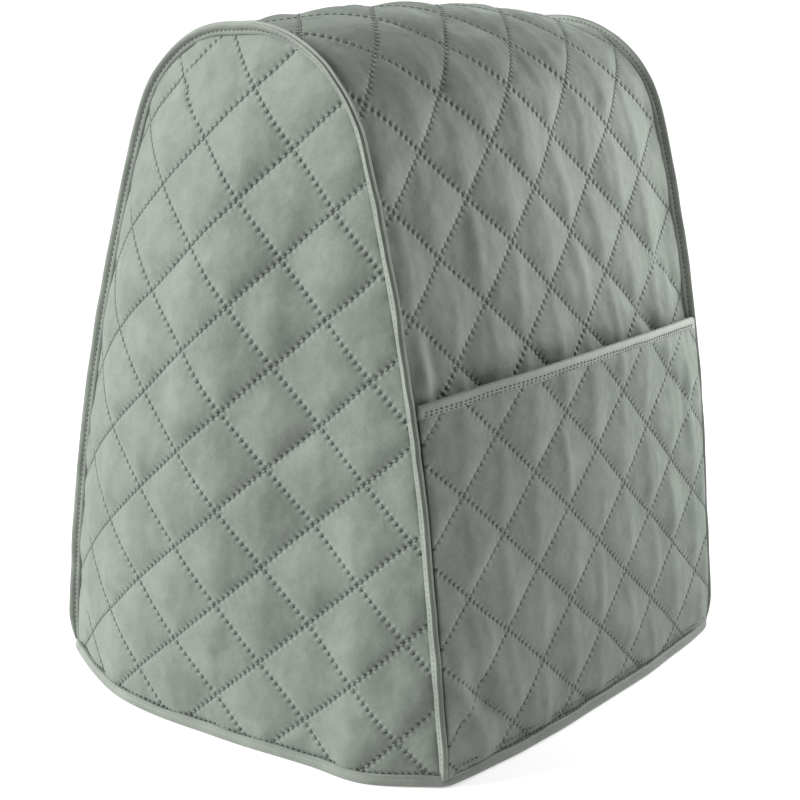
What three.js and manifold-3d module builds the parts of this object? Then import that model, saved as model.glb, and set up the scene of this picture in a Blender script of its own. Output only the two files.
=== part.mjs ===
// Quilted fitted cover in its standing shape, open underneath. Millimetres, +Z up, front towards -Y.
// A long wrap panel runs up the front, over the top and down the back between two arch-shaped sides.
// Every panel is cut flat first, in the cloth's own lengths, and then bent to its standing shape.
import * as THREE from "three";
import { mergeVertices } from "three/addons/utils/BufferGeometryUtils.js";
import Module from "manifold-3d";

const wasm = await Module();
wasm.setup();

// The seam arch in side view: its lean off the vertical at the front hem, then bends up, over and down.
const frontLean = 8.5;
const archBends = [
  { run: 120, turn: 0 },
  { run: 214, turn: 10.5 },
  { run: 99, turn: 77 },
  { run: 20, turn: 0 },
  { run: 79, turn: 73 },
  { run: 400, turn: 11.4 },
];

// Plan and fullness of the standing cover.
const seamWidth = 257;
const sideBulge = 32;
const bulgeShares = [0, 0.3, 0.45, 0.78, 1.01, 0.97, 0.86, 0.57, 0];
const footShares = [0, 0.68, 0.78, 0.89, 0.97, 1.02, 0.93, 0.54, 0];
const footReach = 150;
const bulgeFadeStart = 157;
const bulgeFadePower = 2.7;
const crown = 6;
const topCrown = 11;
const crownPower = 2.2;

// How the standing cover departs from an even one: its right shoulder sinks, its foot spreads, the
// whole leans a little to the left and its back swings to the left towards the foot.
const shoulderSink = 5;
const footSpread = 0.012;
const leftLean = 0.016;
const rearSwing = 42;
const rearSwingPower = 1.8;

// Cloth and quilting. The squares stand on their corners.
const clothThickness = 2;
const quiltDiagonal = 54;
const puffHeight = 1.8;
const innerPuff = 0.4;
const cell = quiltDiagonal / 4;
const seamMargin = 2.6;
const gap = 0.3;
const knifeDepth = 20;

// Soft dents of the standing cloth: middle, reach and depth along the surface.
const wrapDents = [
  { along: 345, across: -70, reachAlong: 45, reachAcross: 24, depth: 3.0 },
  { along: 330, across: 30, reachAlong: 50, reachAcross: 22, depth: 2.4 },
  { along: 392, across: -20, reachAlong: 22, reachAcross: 60, depth: 2.6 },
  { along: 250, across: -88, reachAlong: 70, reachAcross: 20, depth: 2.5 },
  { along: 470, across: 40, reachAlong: 26, reachAcross: 70, depth: 2.6 },
  { along: 600, across: 10, reachAlong: 90, reachAcross: 26, depth: 3.0 },
];
const sideDents = [
  { along: 262, across: 130, reachAlong: 9, reachAcross: 70, depth: 2.4 },
  { along: 60, across: 60, reachAlong: 34, reachAcross: 60, depth: 2.2 },
  { along: 190, across: 250, reachAlong: 46, reachAcross: 40, depth: 2.2 },
];

// Pocket on the lower half of the front.
const pocketTop = 206;
const pocketRise = 3;
const pocketStand = 3;
const gapePower = 3;
const pocketGape = 9.5;
const pocketTape = { height: 6.5, half: 2.2, edge: 0.8 };

// Folded tapes.
const hem = { height: 7, inner: -2.4, outer: 3.2, edge: 0.7 };
const flange = { root: -1.4, shoulder: 4.6, tip: 6, slit: 0.5, mostHalf: 2.6, tipHalf: 1 };
const flangeRise = 1.2;

const clothLook = { color: 0x7f857b, roughness: 0.8, metalness: 0 };
const tapeLook = { color: 0x8b9189, roughness: 0.72, metalness: 0 };

const radians = THREE.MathUtils.degToRad;
const clamp = THREE.MathUtils.clamp;
const lerp = THREE.MathUtils.lerp;

// Points of the seam arch at every millimetre of cloth, down to the back hem at height 0.
function traceArch() {
  const points = [{ y: 0, z: 0, heading: radians(frontLean) }];
  let heading = radians(frontLean);
  for (const { run, turn } of archBends) {
    for (let step = 0; step < run; step++) {
      heading += radians(turn) / run;
      const last = points[points.length - 1];
      points.push({ y: last.y + Math.sin(heading), z: last.z + Math.cos(heading), heading });
      if (points[points.length - 1].z < 0) return points;
    }
  }
  return points;
}
const arch = traceArch();
const archLength = arch.length - 1;
const archTop = arch.reduce((best, point, index) => (point.z > arch[best].z ? index : best), 0);

function archAt(along) {
  const place = clamp(along, 0, archLength - 0.001);
  const low = Math.floor(place);
  const rest = along - low;
  const [a, b] = [arch[low], arch[low + 1]];
  const heading = lerp(a.heading, b.heading, place - low);
  return { y: lerp(a.y, b.y, rest), z: lerp(a.z, b.z, rest), heading };
}

// Where the arch crosses a height, on the front run or on the back run.
function archCrossing(height, from, to) {
  let [low, high] = [from, to];
  for (let round = 0; round < 40; round++) {
    const middle = (low + high) / 2;
    if (archAt(middle).z < height) low = middle;
    else high = middle;
  }
  return archAt(low).y;
}
const frontEdge = (height) => archCrossing(Math.max(height, 0), 0, archTop);
const rearEdge = (height) => archCrossing(Math.max(height, 0), archLength, archTop);
const swingAt = (height) => rearSwing * (1 - clamp(height / arch[archTop].z, 0, 1) ** rearSwingPower);

// Smooth curve through evenly spaced shares.
function smoothShare(shares, t) {
  const place = clamp(t, 0, 1) * (shares.length - 1);
  const low = Math.min(Math.floor(place), shares.length - 2);
  const [b, c] = [shares[low], shares[low + 1]];
  const a = shares[low - 1] ?? 2 * b - c;
  const d = shares[low + 2] ?? 2 * c - b;
  const x = place - low;
  return b + 0.5 * x * (c - a + x * (2 * a - 5 * b + 4 * c - d + x * (3 * (b - c) + d - a)));
}

function dentDepth(dents, along, across) {
  let depth = 0;
  for (const dent of dents) {
    const x = (along - dent.along) / dent.reachAlong;
    const y = (across - dent.across) / dent.reachAcross;
    depth += dent.depth * Math.exp(-x * x - y * y);
  }
  return depth;
}

// Wrap panel: along runs up the front, over and down, across runs from the left seam to the right.
function wrapPoint(along, across) {
  const { y, z, heading } = archAt(along);
  const share = 1 - Math.abs((2 * across) / seamWidth) ** crownPower;
  const full = lerp(crown, topCrown, Math.sin(heading) ** 4);
  const lift = share * (full - dentDepth(wrapDents, along, across));
  return new THREE.Vector3(across, y - lift * Math.cos(heading), z + lift * Math.sin(heading));
}

// Side panel: how far it stands out past the seams at a place in side view.
function bulgeAt(t, height) {
  const fade = clamp((height - bulgeFadeStart) / (arch[archTop].z - bulgeFadeStart), 0, 1);
  const foot = 1 - THREE.MathUtils.smoothstep(height, 0, footReach);
  const share = lerp(smoothShare(bulgeShares, t), smoothShare(footShares, t), foot);
  return sideBulge * share * (1 - fade ** bulgeFadePower);
}

// Cloth lengths along one level cut of the side panel, from the front seam to the rear seam.
const cutSteps = 64;
const cutCache = new Map();
function levelCut(height) {
  const key = Math.round(height * 4);
  if (!cutCache.has(key)) {
    const front = frontEdge(key / 4);
    const rear = rearEdge(key / 4);
    const swingRise = swingAt(height) / cutSteps;
    const lengths = [0];
    for (let step = 1; step <= cutSteps; step++) {
      const bulgeRise = bulgeAt(step / cutSteps, height) - bulgeAt((step - 1) / cutSteps, height);
      const rise = bulgeRise + swingRise;
      lengths.push(lengths[step - 1] + Math.hypot((rear - front) / cutSteps, rise));
    }
    cutCache.set(key, { front, rear, lengths });
  }
  return cutCache.get(key);
}

// Left side panel: along is the cloth length back from the front hem corner, up is the height.
function sidePoint(along, up) {
  const { front, rear, lengths } = levelCut(up);
  const length = along - front;
  const total = lengths[cutSteps];
  let t = length / Math.max(total, 1);
  if (length > 0 && length < total) {
    const step = lengths.findIndex((reach) => reach > length) - 1;
    t = (step + (length - lengths[step]) / (lengths[step + 1] - lengths[step])) / cutSteps;
  }
  const share = Math.sin(Math.PI * clamp(t, 0, 1)) * clamp((arch[archTop].z - up) / 60, 0, 1);
  const out = bulgeAt(t, up) - share * dentDepth(sideDents, along, up);
  return new THREE.Vector3(-seamWidth / 2 - out, front + t * (rear - front), up);
}

// Cloth length back from the front hem corner for a place in side view.
function sideAlong(y, up) {
  const { front, rear, lengths } = levelCut(up);
  const place = clamp((y - front) / Math.max(rear - front, 1), 0, 1) * cutSteps;
  const low = Math.min(Math.floor(place), cutSteps - 1);
  return front + lerp(lengths[low], lengths[low + 1], place - low);
}

// A point off a surface, along the surface's outward normal.
function offSurface(surface, a, b, lift) {
  const small = 0.5;
  const alongStep = surface(a + small, b).sub(surface(a - small, b));
  const acrossStep = surface(a, b + small).sub(surface(a, b - small));
  const normal = acrossStep.cross(alongStep).normalize();
  return surface(a, b).addScaledVector(normal, lift);
}

// Relief of the quilting at a corner of the cut grid: 0 on the stitch lines, 1 in a square's middle.
function puffShare(i, j) {
  const wave = (k) => Math.abs(Math.sin((Math.PI * k) / 4));
  return wave(i - j) * wave(i + j);
}

// Flat quilted slab over a rectangle, its triangles folded along the stitch lines. The inner face is
// nearly smooth, so it takes one point where the outer face has two.
function quiltedSlab({ phase, low, high }) {
  const start = [0, 1].map((axis) => 2 * Math.floor((low[axis] - phase[axis]) / cell / 2) - 2);
  const end = [0, 1].map((axis) => 2 * Math.ceil((high[axis] - phase[axis]) / cell / 2) + 2);
  const counts = [end[0] - start[0], end[1] - start[1]];
  const positions = [];
  const faces = [];
  const layer = (stride, height) => {
    const base = positions.length / 3;
    const rows = counts[1] / stride + 1;
    for (let i = 0; i <= counts[0]; i += stride) {
      for (let j = 0; j <= counts[1]; j += stride) {
        const [gridI, gridJ] = [start[0] + i, start[1] + j];
        positions.push(phase[0] + gridI * cell, phase[1] + gridJ * cell, height(gridI, gridJ));
      }
    }
    return (i, j) => base + (i / stride) * rows + j / stride;
  };
  const outer = layer(1, (i, j) => puffHeight * puffShare(i, j));
  const inner = layer(2, (i, j) => -clothThickness - innerPuff * puffShare(i, j));
  const cover = (at, stride, up) => {
    for (let i = 0; i < counts[0]; i += stride) {
      for (let j = 0; j < counts[1]; j += stride) {
        const corners = [at(i, j), at(i + stride, j), at(i + stride, j + stride), at(i, j + stride)];
        const turn = (start[0] + i + start[1] + j) % 2 === 0 ? 0 : 1;
        const [a, b, c, d] = [0, 1, 2, 3].map((k) => corners[(k + turn) % 4]);
        if (up) faces.push(a, b, c, a, c, d);
        else faces.push(a, c, b, a, d, c);
      }
    }
  };
  cover(outer, 1, true);
  cover(inner, 2, false);
  const rim = (at, stride) => {
    const loop = [];
    for (let i = 0; i < counts[0]; i += stride) loop.push(at(i, 0));
    for (let j = 0; j < counts[1]; j += stride) loop.push(at(counts[0], j));
    for (let i = counts[0]; i > 0; i -= stride) loop.push(at(i, counts[1]));
    for (let j = counts[1]; j > 0; j -= stride) loop.push(at(0, j));
    return loop;
  };
  const outerRim = rim(outer, 1);
  const innerRim = rim(inner, 2);
  innerRim.forEach((a, k) => {
    const b = innerRim[(k + 1) % innerRim.length];
    const [f, g, h] = [0, 1, 2].map((more) => outerRim[(2 * k + more) % outerRim.length]);
    faces.push(f, a, g, g, a, b, g, b, h);
  });
  return closedGeometry(positions, faces);
}

function closedGeometry(positions, faces) {
  const geometry = new THREE.BufferGeometry();
  geometry.setAttribute("position", new THREE.Float32BufferAttribute(positions, 3));
  geometry.setIndex(faces);
  return geometry;
}

function toSolid(geometry) {
  geometry.deleteAttribute("normal");
  geometry.deleteAttribute("uv");
  const merged = mergeVertices(geometry, 1e-4);
  const vertProperties = new Float32Array(merged.attributes.position.array);
  const triVerts = new Uint32Array(merged.index.array);
  return new wasm.Manifold(new wasm.Mesh({ numProp: 3, vertProperties, triVerts }));
}

// Cuts a quilted slab to an outline in cloth lengths and bends it with the panel's own map.
function cutPanel({ outline, phase, map }) {
  const xs = outline.map((point) => point[0]);
  const ys = outline.map((point) => point[1]);
  const low = [Math.min(...xs), Math.min(...ys)];
  const high = [Math.max(...xs), Math.max(...ys)];
  const slab = toSolid(quiltedSlab({ phase, low, high }));
  const shape = new THREE.Shape(outline.map(([x, y]) => new THREE.Vector2(x, y)));
  const knife = new THREE.ExtrudeGeometry(shape, { depth: knifeDepth, bevelEnabled: false });
  knife.translate(0, 0, -knifeDepth / 2);
  const mesh = slab.intersect(toSolid(knife)).getMesh();
  const positions = [];
  for (let vertex = 0; vertex < mesh.numVert; vertex++) {
    const [a, b, lift] = [0, 1, 2].map((axis) => mesh.vertProperties[vertex * mesh.numProp + axis]);
    positions.push(...map(a, b, lift).toArray());
  }
  return closedGeometry(positions, Array.from(mesh.triVerts).reverse());
}

// A bar of a constant number of section corners through a row of stations, closed on itself or capped.
function sweepSections(sections, closed) {
  const corners = sections[0].length;
  const positions = sections.flatMap((section) => section.flatMap((point) => point.toArray()));
  const faces = [];
  const last = closed ? sections.length : sections.length - 1;
  for (let station = 0; station < last; station++) {
    const here = station * corners;
    const next = ((station + 1) % sections.length) * corners;
    for (let k = 0; k < corners; k++) {
      const m = (k + 1) % corners;
      faces.push(here + k, here + m, next + m, here + k, next + m, next + k);
    }
  }
  if (!closed) {
    const end = (sections.length - 1) * corners;
    for (let k = 1; k < corners - 1; k++) {
      faces.push(0, k + 1, k, end, end + k, end + k + 1);
    }
  }
  return closedGeometry(positions, faces);
}

function mirrored(geometry) {
  const copy = geometry.clone();
  const position = copy.attributes.position;
  for (let k = 0; k < position.count; k++) position.setX(k, -position.getX(k));
  const order = Array.from(copy.index.array);
  for (let k = 0; k < order.length; k += 3) [order[k], order[k + 1]] = [order[k + 1], order[k]];
  copy.setIndex(order);
  return copy;
}

// Stations along the arch, closer together round the two top corners.
function archStations(from, to, coarse, fine) {
  const corner = (along) => {
    const a = archAt(along - 4).heading;
    const b = archAt(along + 4).heading;
    return Math.abs(b - a) > radians(3.5);
  };
  const stations = [from];
  while (stations[stations.length - 1] < to) {
    const here = stations[stations.length - 1];
    stations.push(Math.min(here + (corner(here) || corner(here + fine) ? fine : coarse), to));
  }
  return stations;
}

const rimTilt = 1;
const hemTop = hem.height + gap + rimTilt;
const wrapStart = hemTop / Math.cos(radians(frontLean));
const wrapEnd = archLength - hemTop / Math.cos(Math.PI - arch[archLength].heading);

function wrapPanel() {
  const reach = seamWidth / 2 - seamMargin;
  return cutPanel({
    outline: [[wrapStart, -reach], [wrapEnd, -reach], [wrapEnd, reach], [wrapStart, reach]],
    phase: [274.7, -92],
    map: (along, across, lift) => offSurface(wrapPoint, along, across, lift),
  });
}

function sideOutline() {
  const level = (y) => [sideAlong(y, hemTop), hemTop];
  const outline = [level(frontEdge(hemTop) + seamMargin)];
  for (const along of archStations(wrapStart + 8, wrapEnd - 8, 24, 9)) {
    const { y, z, heading } = archAt(along);
    const inY = y + seamMargin * Math.cos(heading);
    const inZ = z - seamMargin * Math.sin(heading);
    outline.push([sideAlong(inY, inZ), inZ]);
  }
  outline.push(level(rearEdge(hemTop) - seamMargin));
  return outline;
}

function sidePanel() {
  return cutPanel({
    outline: sideOutline(),
    phase: [108, 214],
    map: (along, up, lift) => offSurface(sidePoint, along, up, lift),
  });
}

// How far the pocket's inner face stands off the wrap panel.
function pocketOff(along, across) {
  const up = clamp(along / pocketTop, 0, 1);
  const middle = 1 - Math.abs((2 * across) / seamWidth) ** 2;
  return pocketStand + pocketGape * up ** gapePower * middle;
}

function pocketPoint(along, across, lift) {
  return offSurface(wrapPoint, along, across, pocketOff(along, across) + clothThickness + lift);
}

// The pocket's top edge rises a little towards its middle.
function pocketEdge(across) {
  return pocketTop + pocketRise * (1 - ((2 * across) / seamWidth) ** 2);
}

function pocketPanel() {
  const reach = seamWidth / 2 - seamMargin;
  const topSteps = 12;
  const outline = [[wrapStart, reach], [wrapStart, -reach]];
  for (let k = 0; k <= topSteps; k++) {
    const across = lerp(-reach, reach, k / topSteps);
    outline.push([pocketEdge(across) - pocketTape.height - gap, across]);
  }
  return cutPanel({
    outline,
    phase: [181.5, -79],
    map: pocketPoint,
  });
}

function pocketBinding() {
  const reach = seamWidth / 2 - seamMargin;
  const { height, half, edge } = pocketTape;
  const side = height - edge;
  const tip = half - edge;
  const section = [[0, half], [0, -half], [side, -half], [height, -tip], [height, tip], [side, half]];
  const steps = 20;
  const sections = [];
  for (let k = 0; k <= steps; k++) {
    const across = lerp(-reach, reach, k / steps);
    const foot = pocketEdge(across) - height;
    sections.push(section.map(([up, out]) => pocketPoint(foot + up, across, out - clothThickness / 2)));
  }
  return sweepSections(sections, false);
}

// Tape folded over the left seam: it stands out along the middle direction between the two panels.
function seamBinding() {
  const sections = archStations(wrapStart + flangeRise, wrapEnd - flangeRise, 22, 9).map((along) => {
    const { y, z, heading } = archAt(along);
    const seam = new THREE.Vector3(-seamWidth / 2, y, z);
    const inY = y + seamMargin * Math.cos(heading);
    const inZ = z - seamMargin * Math.sin(heading);
    const intoSide = sidePoint(sideAlong(inY, inZ), inZ).sub(seam);
    const intoWrap = wrapPoint(along, seamMargin - seamWidth / 2).sub(seam);
    const lean = Math.sin(intoSide.angleTo(intoWrap) / 2);
    const toSide = Math.min(intoSide.length() * lean - flange.slit, flange.mostHalf);
    const toWrap = intoWrap.length() * lean - flange.slit;
    intoSide.normalize();
    intoWrap.normalize();
    const out = intoSide.clone().add(intoWrap).normalize().negate();
    const aside = intoWrap.clone().sub(intoSide).normalize();
    const { root, shoulder, tip, tipHalf } = flange;
    const sideFace = [[root, -toSide], [shoulder, -toSide], [tip, -tipHalf]];
    const wrapFace = [[tip, tipHalf], [shoulder, toWrap], [root, toWrap]];
    return [...sideFace, ...wrapFace].map(([far, offset]) =>
      seam.clone().addScaledVector(out, far).addScaledVector(aside, offset),
    );
  });
  return sweepSections(sections, false);
}

// Plan curve of the lower edge, from the left seam round the front, the right side and the back.
function hemBinding() {
  const loop = [];
  const add = (x, y) => loop.push(new THREE.Vector2(x, y));
  const half = seamWidth / 2;
  const frontSteps = 12;
  for (let k = 1; k < frontSteps; k++) {
    const point = wrapPoint(hem.height / 2, lerp(-half, half, k / frontSteps));
    add(point.x, point.y);
  }
  const sideSteps = 20;
  const total = levelCut(0).lengths[cutSteps];
  const side = [];
  for (let k = 0; k <= sideSteps; k++) {
    side.push(sidePoint(frontEdge(0) + (total * k) / sideSteps, hem.height / 2));
  }
  side.forEach((point) => add(-point.x, point.y));
  for (let k = frontSteps - 1; k > 0; k--) {
    const point = wrapPoint(archLength - hem.height / 2, lerp(-half, half, k / frontSteps));
    add(point.x, point.y);
  }
  side.reverse().forEach((point) => add(point.x, point.y));
  const { height, inner, outer, edge } = hem;
  const innerFace = [[inner, 0], [inner, height - edge], [inner + edge, height]];
  const outerFace = [[outer - edge, height], [outer, height - edge], [outer, 0]];
  const sections = loop.map((point, k) => {
    const before = loop[(k + loop.length - 1) % loop.length];
    const after = loop[(k + 1) % loop.length];
    const arriving = point.clone().sub(before).normalize();
    const leaving = after.clone().sub(point).normalize();
    const ahead = arriving.add(leaving).normalize();
    return [...innerFace, ...outerFace].map(
      ([out, up]) => new THREE.Vector3(point.x + ahead.y * out, point.y - ahead.x * out, up),
    );
  });
  return sweepSections(sections, true);
}

function piece(name, geometry, look) {
  const position = geometry.attributes.position;
  for (let k = 0; k < position.count; k++) {
    const [x, y, z] = [position.getX(k), position.getY(k), position.getZ(k)];
    const share = z / arch[archTop].z;
    const right = clamp(x / seamWidth + 0.5, 0, 1);
    const front = frontEdge(z);
    const back = clamp((y - front) / Math.max(rearEdge(z) - front, 1), 0, 1);
    const aside = leftLean * z + swingAt(z) * back;
    position.setX(k, x * (1 + footSpread * (1 - share)) - aside);
    position.setZ(k, z - shoulderSink * right ** 2 * share ** 3);
  }
  const mesh = new THREE.Mesh(geometry, new THREE.MeshStandardMaterial(look));
  mesh.name = name;
  return mesh;
}

const cover = new THREE.Group();
const leftSide = sidePanel();
const rightSide = mirrored(leftSide);
const leftBinding = seamBinding();
const rightBinding = mirrored(leftBinding);
cover.add(
  piece("wrap_panel", wrapPanel(), clothLook),
  piece("side_panel_left", leftSide, clothLook),
  piece("side_panel_right", rightSide, clothLook),
  piece("pocket_panel", pocketPanel(), clothLook),
  piece("pocket_binding", pocketBinding(), tapeLook),
  piece("seam_binding_left", leftBinding, tapeLook),
  piece("seam_binding_right", rightBinding, tapeLook),
  piece("hem_binding", hemBinding(), tapeLook),
);

// The origin is the middle of the foot, level with the lower edge.
const reach = new THREE.Box3().setFromObject(cover);
const middle = reach.getCenter(new THREE.Vector3());
cover.position.set(-middle.x, -middle.y, -reach.min.z);

export default cover;
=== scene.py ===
# %% [markdown]
# # A quilted fitted cover
# This lesson dresses the solid model of a cover that is pulled over a kitchen machine. The real one is
# sewn from thin padded cloth, stitched through in squares that stand on their corners. Two arch-shaped
# sides and one long strip are joined by seams with folded tape, and tape also closes the lower edge.
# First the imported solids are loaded. They fix the size and the place of every piece.

# %% Load the frame
import math

import bmesh
import bpy
import numpy as np
from mathutils import Matrix, Vector
from mathutils.geometry import delaunay_2d_cdt


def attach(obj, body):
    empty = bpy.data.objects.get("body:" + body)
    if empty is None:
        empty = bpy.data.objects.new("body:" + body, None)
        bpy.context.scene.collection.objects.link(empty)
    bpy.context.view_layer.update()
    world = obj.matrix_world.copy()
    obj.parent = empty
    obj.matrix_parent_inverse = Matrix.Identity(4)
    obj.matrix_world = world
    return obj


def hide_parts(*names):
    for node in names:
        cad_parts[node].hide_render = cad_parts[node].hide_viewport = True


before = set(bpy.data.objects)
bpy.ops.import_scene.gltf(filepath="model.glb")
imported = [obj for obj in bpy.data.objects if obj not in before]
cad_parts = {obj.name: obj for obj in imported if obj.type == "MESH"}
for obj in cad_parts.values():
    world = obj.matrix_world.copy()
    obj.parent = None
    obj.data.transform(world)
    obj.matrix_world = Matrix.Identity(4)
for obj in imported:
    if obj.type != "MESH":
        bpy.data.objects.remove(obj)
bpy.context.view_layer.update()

# %% [markdown]
# ## The camera
# The photograph was taken with a long lens, a little above the cover and off its near corner. The view
# is rebuilt from three turns: the heading round the object, the dip below the horizon and a slight tilt
# of the horizon itself. A camera's matrix holds its right, up and backward directions in its columns,
# so writing them there is more exact than aiming with a constraint.

# %% Camera
EYE = Vector((-0.6479, -0.5530, 0.4458))
HEADING = math.radians(-49.09)
DIP = math.radians(18.68)
TILT = math.radians(2.37)
LENS = 68.0

backward = Vector((math.sin(HEADING) * math.cos(DIP), -math.cos(HEADING) * math.cos(DIP), math.sin(DIP)))
level = Vector((math.cos(HEADING), math.sin(HEADING), 0))
upright = backward.cross(level)
to_right = math.cos(TILT) * level + math.sin(TILT) * upright
to_top = math.cos(TILT) * upright - math.sin(TILT) * level
camera = bpy.data.objects.new("Camera", bpy.data.cameras.new("Camera"))
camera.data.lens = LENS
camera.data.sensor_width = 36
camera.data.clip_start = 0.02
camera.matrix_world = Matrix.Translation(EYE) @ Matrix((to_right, to_top, backward)).transposed().to_4x4()
bpy.context.collection.objects.link(camera)
bpy.context.scene.camera = camera
print("camera at", [round(v, 3) for v in EYE])

# %% [markdown]
# ## The standing shape
# The cover is drawn in millimetres, as a pattern cutter would, and turned into metres at the end. Its
# side view is one arch: straight up from the hem, round a front shoulder, over the top and down the
# back. Walking along the arch a millimetre at a time gives the cloth length for free, and that length
# is what the quilting follows.

# %% The seam arch
FRONT_LEAN = 8.5
ARCH_BENDS = [
    {"run": 120, "turn": 0},
    {"run": 214, "turn": 10.5},
    {"run": 99, "turn": 77},
    {"run": 20, "turn": 0},
    {"run": 79, "turn": 73},
    {"run": 400, "turn": 11.4},
]
turns = np.concatenate([
    np.full(bend["run"], math.radians(bend["turn"]) / bend["run"]) for bend in ARCH_BENDS
])
arch_heading = math.radians(FRONT_LEAN) + np.concatenate([[0], np.cumsum(turns)])
arch_y = np.concatenate([[0], np.cumsum(np.sin(arch_heading[1:]))])
arch_z = np.concatenate([[0], np.cumsum(np.cos(arch_heading[1:]))])
ARCH_LENGTH = int(np.argmax(arch_z < 0))
arch_heading, arch_y, arch_z = (line[: ARCH_LENGTH + 1] for line in (arch_heading, arch_y, arch_z))
ARCH_TOP = int(np.argmax(arch_z))
TOP_HEIGHT = arch_z[ARCH_TOP]
print("arch length", ARCH_LENGTH, "mm, top at", round(float(TOP_HEIGHT), 1), "mm")


def arch_at(along):
    steps = np.arange(ARCH_LENGTH + 1)
    return [np.interp(along, steps, line) for line in (arch_y, arch_z, arch_heading)]


def front_edge(height):
    return np.interp(height, arch_z[: ARCH_TOP + 1], arch_y[: ARCH_TOP + 1])


def rear_edge(height):
    return np.interp(height, arch_z[ARCH_TOP:][::-1], arch_y[ARCH_TOP:][::-1])


# %% [markdown]
# ## Surfaces of the panels
# Each panel is a function from two cloth lengths to a point in space. The long strip is nearly a
# ruled surface with a crown across it. The side bulges outwards in plan, so the lengths along every
# level cut are worked out once and kept in a table, which makes the way back from length to place a
# simple look-up. Soft dents keep both from looking machined.

# %% Panel surfaces
SEAM_WIDTH = 257
SIDE_BULGE = 32
BULGE_SHARES = [0, 0.3, 0.45, 0.78, 1.01, 0.97, 0.86, 0.57, 0]
FOOT_SHARES = [0, 0.68, 0.78, 0.89, 0.97, 1.02, 0.93, 0.54, 0]
FOOT_REACH = 150
BULGE_FADE_START = 157
BULGE_FADE_POWER = 2.7
REAR_SWING = 42
REAR_SWING_POWER = 1.8
CROWN = 6
TOP_CROWN = 11
CROWN_POWER = 2.2
WRAP_DENTS = [
    {"along": 345, "across": -70, "reach": (45, 24), "depth": 3.0},
    {"along": 330, "across": 30, "reach": (50, 22), "depth": 2.4},
    {"along": 392, "across": -20, "reach": (22, 60), "depth": 2.6},
    {"along": 250, "across": -88, "reach": (70, 20), "depth": 2.5},
    {"along": 470, "across": 40, "reach": (26, 70), "depth": 2.6},
    {"along": 600, "across": 10, "reach": (90, 26), "depth": 3.0},
]
SIDE_DENTS = [
    {"along": 262, "across": 130, "reach": (9, 70), "depth": 2.4},
    {"along": 60, "across": 60, "reach": (34, 60), "depth": 2.2},
    {"along": 190, "across": 250, "reach": (46, 40), "depth": 2.2},
]
DENT_FADE = 60


def dent_depth(dents, along, across):
    depth = np.zeros(np.shape(along))
    for dent in dents:
        x = (along - dent["along"]) / dent["reach"][0]
        y = (across - dent["across"]) / dent["reach"][1]
        depth += dent["depth"] * np.exp(-x * x - y * y)
    return depth


def wrap_point(along, across):
    y, z, heading = arch_at(along)
    share = 1 - np.abs(2 * across / SEAM_WIDTH) ** CROWN_POWER
    full = CROWN + (TOP_CROWN - CROWN) * np.sin(heading) ** 4
    lift = share * (full - dent_depth(WRAP_DENTS, along, across))
    return np.stack([across, y - lift * np.cos(heading), z + lift * np.sin(heading)], -1)


def smooth_share(shares, t):
    """A smooth curve through equally spaced values, read at t from 0 to 1."""
    padded = np.array([2 * shares[0] - shares[1], *shares, 2 * shares[-1] - shares[-2]])
    place = np.clip(t, 0, 1) * (len(shares) - 1)
    low = np.minimum(place.astype(int), len(shares) - 2)
    a, b, c, d = (padded[low + k] for k in range(4))
    x = place - low
    return b + 0.5 * x * (c - a + x * (2 * a - 5 * b + 4 * c - d + x * (3 * (b - c) + d - a)))


def bulge_at(t, height):
    fade = np.clip((height - BULGE_FADE_START) / (TOP_HEIGHT - BULGE_FADE_START), 0, 1)
    up = np.clip(height / FOOT_REACH, 0, 1)
    foot = 1 - (3 - 2 * up) * up * up
    share = smooth_share(BULGE_SHARES, t) * (1 - foot) + smooth_share(FOOT_SHARES, t) * foot
    return SIDE_BULGE * share * (1 - fade**BULGE_FADE_POWER)


def swing_at(height):
    return REAR_SWING * (1 - np.clip(height / TOP_HEIGHT, 0, 1) ** REAR_SWING_POWER)


CUT_SHARES = np.linspace(0, 1, 65)
TABLE_START = -30
TABLE_END = 480
table_heights = np.arange(0, math.ceil(TOP_HEIGHT) + 1)
table_lengths = np.arange(TABLE_START, TABLE_END)
side_shares = np.zeros((len(table_heights), len(table_lengths)))
side_lengths = np.zeros((len(table_heights), len(CUT_SHARES)))
for row, height in enumerate(table_heights):
    front, rear = front_edge(height), rear_edge(height)
    aside = bulge_at(CUT_SHARES, height) + swing_at(height) * CUT_SHARES
    gaps = np.hypot(np.diff(CUT_SHARES) * (rear - front), np.diff(aside))
    lengths = np.concatenate([[0], np.cumsum(gaps)])
    side_lengths[row] = front + lengths
    reach = table_lengths - front
    inside = np.interp(reach, lengths, CUT_SHARES)
    beyond = (reach < 0) | (reach > lengths[-1])
    side_shares[row] = np.where(beyond, reach / max(lengths[-1], 1), inside)


def look_up(table, row, column):
    low_row = np.clip(row.astype(int), 0, table.shape[0] - 2)
    low_column = np.clip(column.astype(int), 0, table.shape[1] - 2)
    x = np.clip(row - low_row, 0, 1)
    y = column - low_column
    top = table[low_row, low_column] * (1 - y) + table[low_row, low_column + 1] * y
    bottom = table[low_row + 1, low_column] * (1 - y) + table[low_row + 1, low_column + 1] * y
    return top * (1 - x) + bottom * x


def side_point(along, up):
    along, up = (np.asarray(value, float) for value in (along, up))
    t = look_up(side_shares, up, along - TABLE_START)
    front, rear = front_edge(up), rear_edge(up)
    share = np.sin(math.pi * np.clip(t, 0, 1)) * np.clip((TOP_HEIGHT - up) / DENT_FADE, 0, 1)
    out = bulge_at(t, up) - share * dent_depth(SIDE_DENTS, along, up)
    return np.stack([-SEAM_WIDTH / 2 - out, front + t * (rear - front), up], -1)


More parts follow.
